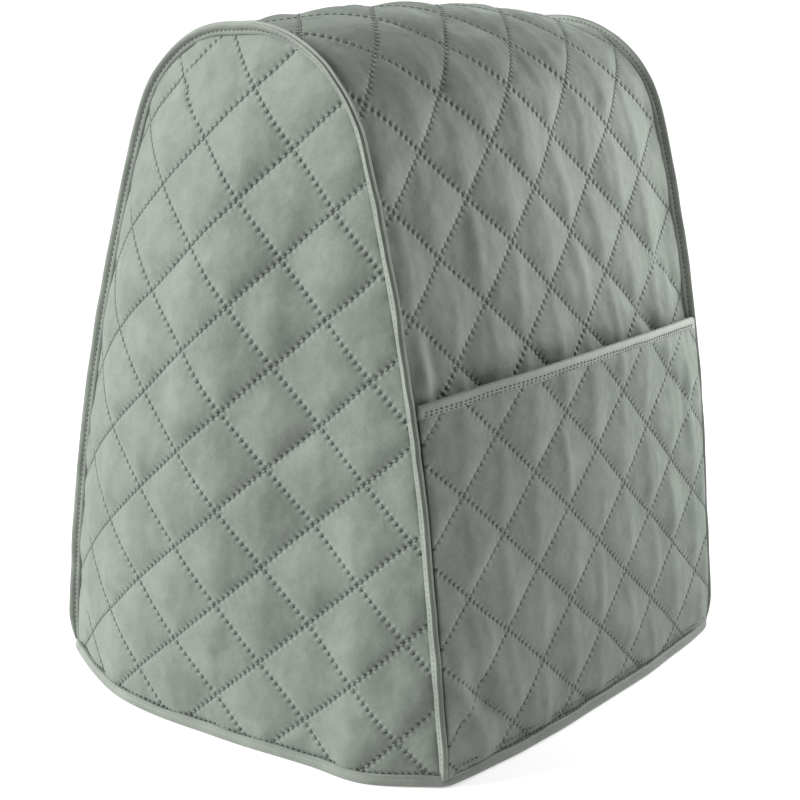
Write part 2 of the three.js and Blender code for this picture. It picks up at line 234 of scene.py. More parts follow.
def side_along(y, up):
    front, rear = front_edge(up), rear_edge(up)
    t = np.clip((y - front) / np.maximum(rear - front, 1), 0, 1)
    return look_up(side_lengths, np.asarray(up, float), t * (len(CUT_SHARES) - 1))


def off_surface(surface, a, b, lift):
    small = 0.75
    along_step = surface(a + small, b) - surface(a - small, b)
    across_step = surface(a, b + small) - surface(a, b - small)
    normal = np.cross(across_step, along_step)
    normal /= np.linalg.norm(normal, axis=-1, keepdims=True)
    return surface(a, b) + normal * np.asarray(lift)[..., None]


print("side panel is", round(float(side_lengths[0, -1] - side_lengths[0, 0])), "mm wide at the hem")

# %% [markdown]
# The pocket is a second sheet over the strip's lower front. It lies close at the foot, where the hem
# holds it, stands off above that and gapes a little at its open top. At the very end the whole cover
# settles: its right shoulder sinks, its foot spreads, its back swings to the left at the foot and the
# whole leans that way, as the one in the photograph does. Every piece goes through the same settling,
# and the mirror for the right side comes before it.

# %% Pocket surface and the settling of the whole
CLOTH = 2
POCKET_TOP = 206
POCKET_RISE = 3
POCKET_STAND = 3
POCKET_PRESS = 0.3
RELEASE_START = 6
RELEASE_RUN = 26
RELEASE_POWER = 0.6
POCKET_GAPE = 9.5
GAPE_POWER = 3
SHOULDER_SINK = 5
FOOT_SPREAD = 0.012
LEFT_LEAN = 0.016
FOOT_MIDDLE = (-22.432, 127.254)
MM = 0.001


def pocket_off(along, across):
    """The gap between the strip and the pocket's back, in millimetres."""
    up = np.clip(along / POCKET_TOP, 0, 1)
    foot = np.clip((along - RELEASE_START) / RELEASE_RUN, 0, 1) ** RELEASE_POWER
    gape = POCKET_GAPE * up**GAPE_POWER * (1 - (2 * across / SEAM_WIDTH) ** 2)
    return POCKET_PRESS + (POCKET_STAND - POCKET_PRESS) * foot + gape


def pocket_point(along, across):
    return off_surface(wrap_point, along, across, pocket_off(along, across) + CLOTH)


def pocket_edge(across):
    return POCKET_TOP + POCKET_RISE * (1 - (2 * across / SEAM_WIDTH) ** 2)


def settle(points):
    x, y, z = np.moveaxis(points, -1, 0)
    share = z / TOP_HEIGHT
    right = np.clip(x / SEAM_WIDTH + 0.5, 0, 1)
    front, rear = front_edge(z), rear_edge(z)
    back = np.clip((y - front) / np.maximum(rear - front, 1), 0, 1)
    aside = LEFT_LEAN * z + swing_at(z) * back
    settled_x = x * (1 + FOOT_SPREAD * (1 - share)) - aside
    settled_z = z - SHOULDER_SINK * right**2 * share**3
    return np.stack([settled_x - FOOT_MIDDLE[0], y - FOOT_MIDDLE[1], settled_z], -1) * MM


def mirror(points):
    return points * [-1, 1, 1]


# %% [markdown]
# ## Soft noise
# Sewn cloth is never exact. The wobble of the stitch lines, the puckers and the sway of the tapes come
# from one small value noise on a lattice: random numbers from a fixed seed, blended smoothly. It gives
# the same cover on every run.

# %% Soft noise
LATTICE = 64


def soft_noise(x, y, seed):
    """Smooth values from -1 to 1, with one lattice cell for each step of x and y."""
    lattice = np.random.default_rng(seed).uniform(-1, 1, (LATTICE, LATTICE))
    cell_x, cell_y = np.floor(x).astype(int), np.floor(y).astype(int)
    blend_x, blend_y = ((3 - 2 * t) * t * t for t in (x - cell_x, y - cell_y))

    def corner(i, j):
        return lattice[(cell_x + i) % LATTICE, (cell_y + j) % LATTICE]

    near = corner(0, 0) * (1 - blend_x) + corner(1, 0) * blend_x
    far = corner(0, 1) * (1 - blend_x) + corner(1, 1) * blend_x
    return near * (1 - blend_y) + far * blend_y


print("noise sample", round(float(soft_noise(np.array(3.3), np.array(8.1), 5)), 3))

# %% [markdown]
# ## Quilted panels
# A quilted panel is two layers with thin wadding between, held together along the stitch lines. The
# mesh follows those lines: its grid runs along the stitching, in steps of a tenth of a square, and
# only the last strip towards the panel's outline is filled with free triangles. So every stitch line
# is a row of real edges, the needle rows can be pinned, and the squares between them can swell.

# %% Quilt grid cut to an outline
DIAGONAL = 54
SQUARE = DIAGONAL / math.sqrt(2)
PER_SQUARE = 10
RIM_SPACING = 2.8
RIM_CLEARANCE = 0.55


def to_quilt(cloth, phase):
    """From millimetres along and across the cloth to quilt squares along its two needle directions."""
    a, b = cloth[..., 0] - phase[0], cloth[..., 1] - phase[1]
    return np.stack([a + b, a - b], -1) / DIAGONAL


def to_cloth(quilt, phase):
    u, v = quilt[..., 0], quilt[..., 1]
    return np.stack([phase[0] + (u + v) * DIAGONAL / 2, phase[1] + (u - v) * DIAGONAL / 2], -1)


def spaced_loop(corners, spacing):
    """The outline with points at about equal distances."""
    corners = np.array(corners, float)
    following = np.roll(corners, -1, axis=0)
    loop = []
    for start, end in zip(corners, following):
        count = max(1, round(float(np.linalg.norm(end - start)) / spacing))
        loop.extend(start + (end - start) * k / count for k in range(count))
    return np.array(loop)


def inside_loop(points, loop):
    following = np.roll(loop, -1, axis=0)
    odd = np.zeros(len(points), bool)
    for (x0, y0), (x1, y1) in zip(loop, following):
        crosses = (points[:, 1] < y0) != (points[:, 1] < y1)
        if y0 != y1:
            odd ^= crosses & (points[:, 0] < x0 + (points[:, 1] - y0) * (x1 - x0) / (y1 - y0))
    return odd


def loop_distance(points, loop):
    nearest = np.full(len(points), np.inf)
    for corner in loop:
        nearest = np.minimum(nearest, np.hypot(*(points - corner).T))
    return nearest


def fill_strip(points, loop_count, fences, covered):
    """Triangles between the outline, the first loop_count points, and the squares of the grid."""
    x, y = points[:loop_count].T
    order = list(range(loop_count))
    if (x * np.roll(y, -1) - np.roll(x, -1) * y).sum() < 0:
        order.reverse()
    flat = [Vector(point) for point in points]
    places, _, faces, origins, _, owners = delaunay_2d_cdt(flat, fences, [order], 0, 1e-6)
    centres = np.array([sum((places[k] for k in face), Vector((0, 0))) / 3 for face in faces])
    wanted = [bool(owner) for owner in owners] & ~covered(centres)
    first = [origin[0] for origin in origins]
    return [[first[k] for k in face] for face, keep in zip(faces, wanted) if keep]


def quilt_grid(outline, phase, step):
    """The outline's own points, then the grid's, in quilt squares, with the faces that join them."""
    loop = to_quilt(outline, phase) / step
    low = np.floor(loop.min(axis=0)).astype(int)
    high = np.ceil(loop.max(axis=0)).astype(int)
    rows, columns = np.meshgrid(*(np.arange(low[k], high[k] + 1) for k in (0, 1)), indexing="ij")
    knots = np.stack([rows.ravel(), columns.ravel()], -1)
    good = inside_loop(knots.astype(float), loop)
    good[good] = loop_distance(knots[good], loop) > RIM_CLEARANCE
    good = good.reshape(rows.shape)
    whole = good[:-1, :-1] & good[1:, :-1] & good[1:, 1:] & good[:-1, 1:]
    number = np.full(rows.shape, -1)
    number[good] = len(loop) + np.arange(good.sum())
    points = np.concatenate([loop, np.stack([rows[good], columns[good]], -1)])
    quads = []
    fences = []
    for i, j in zip(*np.nonzero(whole)):
        quads.append([number[i, j], number[i + 1, j], number[i + 1, j + 1], number[i, j + 1]])
        around = [(i, j - 1), (i + 1, j), (i, j + 1), (i - 1, j)]
        for side, (m, n) in enumerate(around):
            if not (0 <= m < whole.shape[0] and 0 <= n < whole.shape[1] and whole[m, n]):
                fences.append((int(quads[-1][side]), int(quads[-1][(side + 1) % 4])))
    needed = np.ones(len(points), bool)
    busy = np.zeros(rows.shape, int)
    for m, n in ((0, 0), (1, 0), (1, 1), (0, 1)):
        busy[m : m + whole.shape[0], n : n + whole.shape[1]] += whole
    needed[number[good & (busy == 4)]] = False
    chosen = np.nonzero(needed)[0]
    renumber = np.full(len(points), -1)
    renumber[chosen] = np.arange(len(chosen))
    renumbered = [(int(renumber[a]), int(renumber[b])) for a, b in fences]

    def covered(centres):
        cells = np.floor(centres).astype(int) - low
        within = (cells >= 0).all(axis=1) & (cells < whole.shape).all(axis=1)
        cells = np.clip(cells, 0, np.array(whole.shape) - 1)
        return within & whole[cells[:, 0], cells[:, 1]]

    strip = fill_strip(points[chosen], len(loop), renumbered, covered)
    strip = [[int(chosen[k]) for k in face] for face in strip]
    return points * step, [[int(k) for k in quad] for quad in quads] + strip, len(loop)


# %% [markdown]
# ## Swelling the squares
# The wadding pushes the face of the cloth out between the needle rows, and the cloth is a little too
# long for its place, which makes it bulge. A cloth simulation does both. The needle rows are pinned, a
# low pressure stands in for the wadding, and the rest shape is the flat cut, a few per cent larger than
# the place it is sewn to. The front and the pocket are larger sideways only. The cloth is simulated at
# ten times its size, because Blender's cloth is set up for things as large as a person.

# %% Swelling by simulation
SIM_ZOOM = 10
SIM_FRAMES = 12
SWELL_CAP = 3.0


def swell(name, points, faces, flat, pinned, pressure):
    """Runs the cloth and returns the moved points. flat holds the cut's own places, in millimetres."""
    mesh = bpy.data.meshes.new(name)
    mesh.from_pydata((points * MM * SIM_ZOOM).tolist(), [], faces)
    sheet = bpy.data.objects.new(name, mesh)
    bpy.context.collection.objects.link(sheet)
    held = sheet.vertex_groups.new(name="held")
    held.add([int(k) for k in np.nonzero(pinned)[0]], 1, "REPLACE")
    sheet.shape_key_add(name="Basis")
    cut = sheet.shape_key_add(name="Cut")
    laid = np.concatenate([flat, np.zeros((len(flat), 1))], 1) * MM * SIM_ZOOM
    cut.data.foreach_set("co", laid.ravel())
    cloth = sheet.modifiers.new("Cloth", "CLOTH")
    cloth.settings.vertex_group_mass = "held"
    cloth.settings.rest_shape_key = cut
    cloth.settings.quality = 4
    cloth.settings.mass = 0.1
    cloth.settings.tension_stiffness = 20
    cloth.settings.compression_stiffness = 20
    cloth.settings.shear_stiffness = 8
    cloth.settings.bending_stiffness = 0.05
    cloth.settings.tension_damping = 8
    cloth.settings.compression_damping = 8
    cloth.settings.air_damping = 3
    cloth.settings.use_pressure = True
    cloth.settings.uniform_pressure_force = pressure
    cloth.settings.effector_weights.gravity = 0
    cloth.collision_settings.use_collision = False
    cloth.point_cache.frame_start = 1
    cloth.point_cache.frame_end = SIM_FRAMES
    scene = bpy.context.scene
    for step in range(1, SIM_FRAMES + 1):
        scene.frame_set(step)
    shown = sheet.evaluated_get(bpy.context.evaluated_depsgraph_get())
    moved = np.empty(len(points) * 3)
    shown.data.vertices.foreach_get("co", moved)
    scene.frame_set(1)
    bpy.data.objects.remove(sheet)
    travel = moved.reshape(-1, 3) / (MM * SIM_ZOOM) - points
    reach = np.linalg.norm(travel, axis=1, keepdims=True)
    print(name, "swelled by up to", round(float(reach.max()), 2), "mm")
    return points + travel * np.minimum(1, SWELL_CAP / np.maximum(reach, 1e-6))


# %% [markdown]
# ## Folds and creases
# The simulation gives round cushions, but this cloth has been packed and handled. So what it leaves out
# is drawn as heights above the surface: upright ridges in the middle of the squares, a slight slant of
# each square, small puckers along the outline, and a few long creases at places read off the cloth.

# %% Folds and creases
FOLD_SHIFT = 9
FOLD_TILT = 0.35
FOLD_WIDTH = 3.0
FOLD_WIDTH_SPREAD = 2.4
HOLLOW_DEPTH = 0.5
HOLLOW_WIDTH = 2.4
SECOND_HEIGHT = 0.8
SECOND_PLACE = 8
SAG = (-0.05, -0.06)
SAG_SPREAD = (0.16, 0.12)
SAG_POWER = 0.7
GATHER_HEIGHT = 0.8
GATHER_REACH = 17
GATHER_POWER = 1.3
PUCKER_SIZE = 6.5
PULL_POWER = 0.7


def from_line(value):
    return np.abs(value - np.round(value))


def puff_share(quilt):
    """Nothing on the stitch lines, one in the middle of a square."""
    waves = np.sin(math.pi * from_line(quilt))
    return waves[:, 0] * waves[:, 1]


def fold_height(quilt, phase, axis, low, high, seed):
    """Ridges of pushed-together cloth down the middle of the squares, in millimetres."""
    cell = np.floor(quilt + 1e-6)
    local = to_cloth(quilt, phase) - to_cloth(cell + 0.5, phase)
    sideways, upright = local[:, axis], local[:, 1 - axis]
    place = cell.astype(int) % LATTICE
    luck = np.random.default_rng(seed).random((LATTICE, LATTICE, 7))[place[:, 0], place[:, 1]].T
    off_middle = sideways - (luck[0] - 0.5) * FOLD_SHIFT - (luck[1] - 0.5) * FOLD_TILT * upright
    width = FOLD_WIDTH + FOLD_WIDTH_SPREAD * luck[2]
    hollow = HOLLOW_DEPTH * np.exp(-((off_middle / (HOLLOW_WIDTH * width)) ** 2))
    ridge = np.exp(-((off_middle / width) ** 2)) - hollow
    second = SECOND_HEIGHT * luck[4] * np.exp(-(((off_middle - SECOND_PLACE) / width) ** 2))
    share = puff_share(quilt)
    slant_sideways, slant_upright = (SAG[k] + SAG_SPREAD[k] * (luck[5 + k] - 0.5) for k in (0, 1))
    slant = slant_sideways * sideways + slant_upright * upright
    rise = (low + (high - low) * luck[3]) * (ridge + second) * np.clip(3 * share, 0, 1)
    return rise + slant * share**SAG_POWER


def gather_height(cloth, loop, crumples, seed):
    """Small puckers along the outline and in a few pulled places, in millimetres."""
    edge_share = np.clip(1 - loop_distance(cloth, loop) / GATHER_REACH, 0, 1) ** GATHER_POWER
    height = GATHER_HEIGHT * edge_share
    for a, b, reach, strength in crumples:
        height += strength * np.exp(-(((cloth[:, 0] - a) / reach) ** 2) - ((cloth[:, 1] - b) / reach) ** 2)
    return height * soft_noise(cloth[:, 0] / PUCKER_SIZE, cloth[:, 1] / PUCKER_SIZE, seed)


def pull_height(cloth, pulls):
    """Single long creases, each from one place to another with a width and a height in millimetres."""
    height = np.zeros(len(cloth))
    for a0, b0, a1, b1, width, rise in pulls:
        run = np.array([a1 - a0, b1 - b0], float)
        reach = np.linalg.norm(run)
        place = (cloth - [a0, b0]) @ run / reach**2
        away = (cloth - [a0, b0]) @ [run[1], -run[0]] / reach
        fade = np.sin(math.pi * np.clip(place, 0, 1)) ** PULL_POWER
        height += rise * np.exp(-((away / width) ** 2)) * fade
    return height


def drawn_height(quilt, cloth, outline, phase, seed, feel):
    """Height of all folds, puckers and creases together, in millimetres."""
    height = fold_height(quilt, phase, feel["sideways"], *feel["folds"], seed)
    height += gather_height(cloth, outline, feel["crumples"], seed + 9)
    return height + pull_height(cloth, feel["pulls"])


# %% [markdown]
# ## A closed panel
# A finished panel has a face, a lining and a rim that joins them, so it is one closed body like the
# real sandwich. One level of subdivision rounds the facets, and a crease along the needle rows keeps
# the valleys narrow. The UV map counts quilt squares: whole numbers are stitch lines, which is what
# the material needs to know. Behind the pocket the strip is pressed nearly flat.

# %% Quilted panel
PUFF = 0.7
PUFF_POWER = 0.7
PINNED_SHARE = 0.01
LINING_PUFF = 0.4
LINING_STEP = 0.5
CREASE = 0.75
WOBBLE = 0.8
WOBBLE_REACH = 24
WOBBLE_SIZE = 31
PRESSED_SHARE = 0.2
PRESSED_FADE = 25


def wobbled(cloth, loop, seed):
    """The stitch lines wander a little, but not at the outline."""
    away = np.clip(loop_distance(cloth, loop) / WOBBLE_REACH, 0, 1)
    away = (3 - 2 * away) * away * away
    x, y = cloth.T / WOBBLE_SIZE
    shift = [soft_noise(x + 7, y + 3, seed + k) for k in (0, 1)]
    return cloth + WOBBLE * away[:, None] * np.stack(shift, -1)


def mesh_object(name, points, faces, uv_name, uvs, crease_edges=None):
    mesh = bpy.data.meshes.new(name)
    mesh.from_pydata(points.tolist(), [], faces)
    mesh.validate()
    mesh.shade_smooth()
    corners = np.empty(len(mesh.loops), int)
    mesh.loops.foreach_get("vertex_index", corners)
    layer = mesh.uv_layers.new(name=uv_name)
    layer.data.foreach_set("uv", uvs[corners].ravel())
    if crease_edges is not None:
        ends = np.empty(len(mesh.edges) * 2, int)
        mesh.edges.foreach_get("vertices", ends)
        crease = mesh.attributes.new("crease_edge", "FLOAT", "EDGE")
        crease.data.foreach_set("value", crease_edges(ends.reshape(-1, 2)).astype(float))
    made = bpy.data.objects.new(name, mesh)
    bpy.context.collection.objects.link(made)
    return made


def baked(piece):
    """The piece with its modifiers applied, as one plain mesh."""
    shown = piece.evaluated_get(bpy.context.evaluated_depsgraph_get())
    mesh = bpy.data.meshes.new_from_object(shown)
    piece.modifiers.clear()
    piece.data = mesh
    mesh.name = piece.name
    return piece


def outwards(piece):
    """Turns every face outwards on a closed body."""
    shape = bmesh.new()
    shape.from_mesh(piece.data)
    bmesh.ops.recalc_face_normals(shape, faces=shape.faces)
    shape.to_mesh(piece.data)
    shape.free()


def rounded(piece):
    """The piece after one applied subdivision."""
    round_off = piece.modifiers.new("Round", "SUBSURF")
    round_off.levels = round_off.render_levels = 1
    baked(piece)
    outwards(piece)
    print(piece.name, len(piece.data.polygons), "faces")
    return piece


def pressed(points, surface, cloth, height):
    """The strip with its relief pressed down on the front, below a height in the cloth."""
    under = off_surface(surface, cloth[:, 0], cloth[:, 1], np.zeros(len(cloth)))
    shown = np.clip((cloth[:, 0] - height) / PRESSED_FADE, PRESSED_SHARE, 1)
    share = np.where(cloth[:, 0] < ARCH_LENGTH / 2, shown, 1)
    return under + (points - under) * share[:, None]


def face_points(name, grid, outline, phase, surface, seed, feel):
    """The outer layer: swelled, folded and, where the pocket lies over it, pressed."""
    quilt, faces, rim = grid
    cloth = wobbled(to_cloth(quilt, phase), outline, seed)
    share = puff_share(quilt)
    lift = PUFF * share**PUFF_POWER
    points = off_surface(surface, cloth[:, 0], cloth[:, 1], lift)
    outward = off_surface(surface, cloth[:, 0], cloth[:, 1], lift + 1) - points
    pinned = share < PINNED_SHARE
    pinned[:rim] = True
    points = swell(name + "_sim", points, faces, cloth * feel["excess"], pinned, feel["pressure"])
    folds = drawn_height(quilt, cloth, outline, phase, seed, feel)
    folds[:rim] = 0
    points += outward * folds[:, None]
    return pressed(points, surface, cloth, feel["pressed_below"]) if "pressed_below" in feel else points


def lining_points(lining, phase, surface):
    """The inner layer, which is plain cloth with slight swellings."""
    cloth = to_cloth(lining, phase)
    lift = -CLOTH - LINING_PUFF * puff_share(lining)
    return off_surface(surface, cloth[:, 0], cloth[:, 1], lift)


def quilted_panel(name, corners, phase, surface, seed, feel, mirrored=False):
    outline = spaced_loop(corners, RIM_SPACING)
    quilt, faces, rim = quilt_grid(outline, phase, 1 / PER_SQUARE)
    points = face_points(name, (quilt, faces, rim), outline, phase, surface, seed, feel)
    lining, inner_faces, _ = quilt_grid(outline, phase, LINING_STEP)
    inner = lining_points(lining, phase, surface)
    base = len(points)
    walls = [[k, base + k, base + (k + 1) % rim, (k + 1) % rim] for k in range(rim)]
    turned = [[base + k for k in reversed(face)] for face in inner_faces]
    everything = np.concatenate([points, inner])
    if mirrored:
        everything = mirror(everything)
    steps = np.round(quilt * PER_SQUARE, 3) % PER_SQUARE == 0
    on_line = np.concatenate([steps, np.zeros((len(inner), 2), bool)])
    on_line[:rim] = False

    def creased(ends):
        return CREASE * (on_line[ends[:, 0]] & on_line[ends[:, 1]]).any(axis=1)

    uvs = np.concatenate([quilt, lining])
    return rounded(mesh_object(name, settle(everything), faces + walls + turned, "quilt", uvs, creased))


# %% [markdown]
# ## The four panels
# The strip runs under the hem tape at both ends and stops just inside the seams. The sides follow the
# arch. The pocket stops below its own tape. Their quilting starts at different places, because the
# pieces were cut from the roll without matching the pattern. How each cloth feels is one small record:
# how much larger it is cut, its pressure, which cloth axis runs sideways, the lowest and highest fold,
# its puckered places, as place, reach and height, and its creases, as start, end, width and height.

# %% Make the panels
SEAM_INSET = 0.5
HEM_INSET = 3.0
POCKET_FOOT = 5.6
POCKET_TAPE = 6.5
POCKET_TUCK = 1.5
WRAP_PHASE, WRAP_SEED = (274.7, -92), 11
SIDE_PHASE, LEFT_SEED, RIGHT_SEED = (108, 214), 23, 37
POCKET_PHASE, POCKET_SEED = (181.5, -79), 51

FRONT_FEEL = {
    "excess": (1.0, 1.05), "pressure": 16, "sideways": 1, "folds": (0.8, 2.2),
    "crumples": [(215, 85, 18, 1.4), (214, -116, 12, 1.2), (225, -60, 20, 0.6), (330, 118, 14, 0.8)],
    "pulls": [
        (242, -117, 200, -119, 3.2, 2.4), (238, -108, 200, -110, 3.0, -1.8), (262, 96, 204, 88, 4, 1.8),
        (250, 108, 206, 102, 3.5, 1.6), (246, 78, 206, 70, 3.5, -1.4),
    ],
    "pressed_below": 176,
}
POCKET_FEEL = {
    "excess": (1.0, 1.05), "pressure": 14, "sideways": 1, "folds": (0.8, 2.3),
    "crumples": [(185, 95, 20, 0.9), (160, 118, 14, 0.7), (38, -108, 17, 0.8)],
    "pulls": [
        (66, -125, 6, -98, 4.2, 2.6), (66, -110, 14, -86, 4.5, -2.0), (196, 104, 128, 108, 3.5, 1.8),
        (196, 92, 150, 96, 3.2, 1.2), (92, -124, 40, -112, 3.5, 1.2),
    ],
}

edge = SEAM_WIDTH / 2 - SEAM_INSET
strip_end = ARCH_LENGTH - HEM_INSET
wrap_corners = [(HEM_INSET, -edge), (strip_end, -edge), (strip_end, edge), (HEM_INSET, edge)]
wrap_cloth = quilted_panel("Wrap_cloth", wrap_corners, WRAP_PHASE, wrap_point, WRAP_SEED, FRONT_FEEL)

# %% Side panels
ARCH_STATIONS = 120
arch_stations = np.linspace(2 * HEM_INSET, ARCH_LENGTH - 2 * HEM_INSET, ARCH_STATIONS)
station_y, station_z, station_heading = arch_at(arch_stations)
inner_y = station_y + SEAM_INSET * np.cos(station_heading)
inner_z = station_z - SEAM_INSET * np.sin(station_heading)
side_corners = [(float(side_along(y, z)), float(z)) for y, z in zip(inner_y, inner_z)]
foot = [(float(side_along(front_edge(HEM_INSET) + SEAM_INSET, HEM_INSET)), HEM_INSET)]
heel = [(float(side_along(rear_edge(HEM_INSET) - SEAM_INSET, HEM_INSET)), HEM_INSET)]
side_corners = foot + side_corners + heel


def side_spot(behind_top, up):
    """A place in the side's cloth, from how far it lies behind the arch's top and how high it is."""
    return float(side_along(float(arch_y[ARCH_TOP]) + behind_top, up)), up


side_feel = {
    "excess": (1.025, 1.02), "pressure": 32, "sideways": 0, "folds": (0.0, 0.9),
    "crumples": [(*side_spot(32, 345), 20, 1.8), (*side_spot(50, 318), 12, 1.0)],
    "pulls": [
        (*side_spot(62, 330), *side_spot(14, 366), 3.6, -2.6),
        (*side_spot(50, 345), *side_spot(30, 330), 3.2, 2.2),
        (*side_spot(34, 358), *side_spot(18, 340), 3.0, 1.8),
    ],
}
side_cloths = [
    quilted_panel("Side_cloth_left", side_corners, SIDE_PHASE, side_point, LEFT_SEED, side_feel),
    quilted_panel("Side_cloth_right", side_corners, SIDE_PHASE, side_point, RIGHT_SEED, side_feel, True),
]

# %% Pocket panel
pocket_line = [
    (float(pocket_edge(b)) - POCKET_TAPE + POCKET_TUCK, float(b)) for b in np.linspace(-edge, edge, 13)
]
pocket_corners = [(POCKET_FOOT, edge), (POCKET_FOOT, -edge)] + pocket_line
pocket_cloth = quilted_panel(
    "Pocket_cloth", pocket_corners, POCKET_PHASE, pocket_point, POCKET_SEED, POCKET_FEEL
)

# %% [markdown]
# ## Folded tapes
# Tape hides every raw edge. It is a strip folded lengthwise, so its section is a flat loop with a
# rounded fold, pressed in along the stitching. Sweeping a section along a path is enough, because the
# path and the directions of the section are known at every station. The fold wanders a little.

# %% Tape sweep
def swept(name, sections, closed, lengths):
    """One closed body from the sections along a path, each a ring of points."""
    count, corners = sections.shape[:2]
    faces = []
    for station in range(count if closed else count - 1):
        here, following = station * corners, (station + 1) % count * corners
        for k in range(corners):
            m = (k + 1) % corners
            faces.append([here + k, here + m, following + m, following + k])
    if not closed:
        faces.append(list(range(corners)))
        faces.append([(count - 1) * corners + k for k in range(corners)])
    around = np.linspace(0, 1, corners)
    uvs = np.stack(np.broadcast_arrays(lengths[:, None], around[None, :]), -1).reshape(-1, 2)
    return rounded(mesh_object(name, settle(sections.reshape(-1, 3)), faces, "tape", uvs))


# %% [markdown]
# ### Seam tape
# Both seams carry a narrow standing fold. Seen end on it shows two soft ridges, where the tape turns
# over the cloth edges, with a thin groove between them. It sways a little along its length and lies
# down where the hem tape takes in its ends. Each place is given as out of the corner and across.

# %% Seam tapes
SEAM_FLANK = [
    (-1.6, 2.1), (0.4, 2.2), (1.7, 1.7), (2.3, 1.35), (3.2, 1.75), (4.6, 1.8), (5.6, 1.45), (6.1, 1.0),
]
SEAM_GROOVE = (4.5, 0.0)
SEAM_SECTION = [(out, -across) for out, across in SEAM_FLANK] + [SEAM_GROOVE] + SEAM_FLANK[::-1]
SEAM_STATIONS = 330
SEAM_TIP = 6
SEAM_SWAY = 0.45
SEAM_WANDER = 0.25
SEAM_RISE = 0.3
FLANGE_START = 5
END_STAND = 0.4
END_RUN = 15
END_POWER = 0.6
HEM_HEIGHT = 7
FLANK_INSET = 2.6
LEFT_TAPE_SEED, RIGHT_TAPE_SEED = 61, 71


def seam_frame(along):
    """Seam points, with the directions out of the corner and across the fold."""
    y, z, heading = arch_at(along)
    seam = np.stack([np.full(len(along), -SEAM_WIDTH / 2), y, z], -1)
    in_y, in_z = y + FLANK_INSET * np.cos(heading), z - FLANK_INSET * np.sin(heading)
    into_side = side_point(side_along(in_y, in_z), in_z) - seam
    into_wrap = wrap_point(along, np.full(len(along), FLANK_INSET - SEAM_WIDTH / 2)) - seam
    into_side /= np.linalg.norm(into_side, axis=1, keepdims=True)
    into_wrap /= np.linalg.norm(into_wrap, axis=1, keepdims=True)
    out = -(into_side + into_wrap)
    aside = into_wrap - into_side
    out, aside = (line / np.linalg.norm(line, axis=1, keepdims=True) for line in (out, aside))
    return seam, out, aside


def seam_spots(along, section, seed, mirrored):
    """Points of the fold's section at places along it, lowered towards the hem tape at both ends."""
    seam, out, aside = seam_frame(along)
    still = along * 0
    sway = SEAM_SWAY * soft_noise(along / 26, still, seed)
    sway += SEAM_WANDER * soft_noise(along / 9, still, seed + 1)
    rise = SEAM_RISE * soft_noise(along / 17, still + 5, seed + 2)
    to_end = np.minimum(along, ARCH_LENGTH - along) - HEM_HEIGHT
    stand = END_STAND + (1 - END_STAND) * np.clip(to_end / END_RUN, 0, 1) ** END_POWER
    tip = np.clip(section[:, 0] / SEAM_TIP, 0, 1)
    far = (section[None, :, 0] + rise[:, None] * tip) * np.where(section[:, 0] > 0, stand[:, None], 1)
    side = section[None, :, 1] + sway[:, None] * tip
    points = seam[:, None] + out[:, None] * far[..., None] + aside[:, None] * side[..., None]
    return mirror(points) if mirrored else points


def seam_tape(name, seed, mirrored):
    along = np.linspace(FLANGE_START, ARCH_LENGTH - FLANGE_START, SEAM_STATIONS)
    return swept(name, seam_spots(along, np.array(SEAM_SECTION), seed, mirrored), False, along)


seam_tapes = [
    seam_tape("Seam_tape_left", LEFT_TAPE_SEED, False),
    seam_tape("Seam_tape_right", RIGHT_TAPE_SEED, True),
]

# %% [markdown]
# ### Hem and pocket tape
# The hem tape wraps the lower edge in one ring, over the ends of the seam folds. In front it stands out
# further, because the pocket's cloth is under it too. The pocket tape is the same tape along the
# pocket's mouth. A shallow dip near the free edge is where the stitches pull.

# %% Hem tape
HEM_SECTION = [
    (-2.3, 6.8), (-2.8, 4.6), (-2.8, 2.0), (-2.2, 0.6), (-0.8, 0.0), (1.0, 0.0), (2.4, 0.5), (3.1, 1.7),
    (3.2, 3.4), (2.9, 4.6), (2.3, 5.4), (2.5, 6.1), (2.55, 6.7), (2.0, 7.1), (0.6, 7.2),
]
HEM_FRONT = 88
HEM_SIDE = 130
HEM_PUSH = 2.2
HEM_SWAY = 0.5


def ring_noise(turn, middle, radius, seed):
    """Soft noise read along a circle, so that it closes on itself."""
    return soft_noise(middle + radius * np.cos(turn), middle + radius * np.sin(turn), seed)


def hem_path():
    """The ring half way up the tape: along the front, the right side, the back and the left side."""
    half = SEAM_WIDTH / 2
    across = np.linspace(-half, half, HEM_FRONT + 2)[1:-1]
    middle = HEM_HEIGHT / 2
    front = wrap_point(np.full(len(across), middle), across)
    back = wrap_point(np.full(len(across), ARCH_LENGTH - middle), across[::-1])
    shares = np.linspace(0, 1, HEM_SIDE)
    along = side_lengths[0, 0] + shares * (side_lengths[0, -1] - side_lengths[0, 0])
    left = side_point(along, np.full(len(along), middle))
    return np.concatenate([front, mirror(left), back, left[::-1]])[:, :2]


